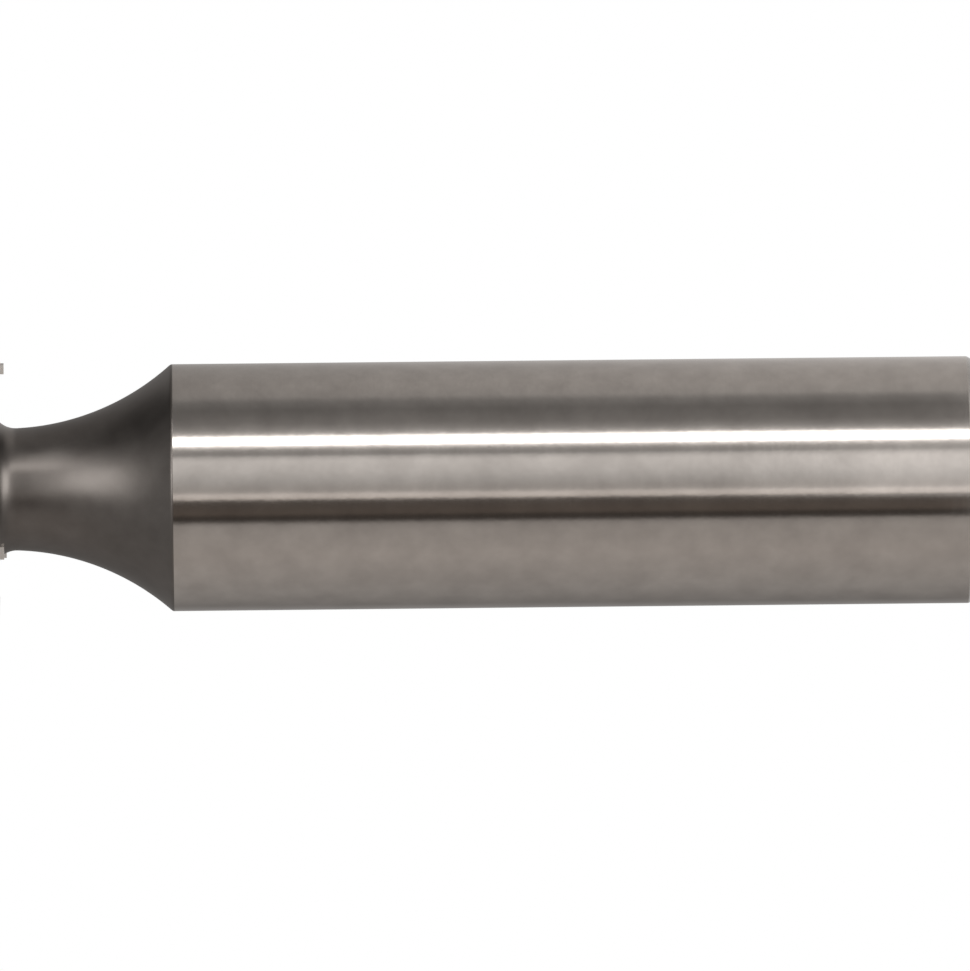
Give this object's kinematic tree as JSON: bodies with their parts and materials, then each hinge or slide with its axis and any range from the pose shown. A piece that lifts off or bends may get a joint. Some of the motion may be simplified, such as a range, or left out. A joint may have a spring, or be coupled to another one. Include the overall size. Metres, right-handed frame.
{
  "type": "woodruff keyseat cutter",
  "caption": "Straight-shank milling cutter with a concave turned neck and a narrow toothed disc head, for cutting half-round keyseats.",
  "frame": {"origin": "centre of the shank's end face, on the tool axis", "axes": "+Z along the tool axis from the shank's end to the head; +X passes through one cutting edge"},
  "size_m": [0.013, 0.0126, 0.054],
  "materials": {
    "ground_tool_steel": "centreless-ground high-speed steel, darker where the neck was only turned"
  },
  "bodies": {
    "root": {"keyseat_cutter": "ground_tool_steel"}
  },
  "joints": []
}
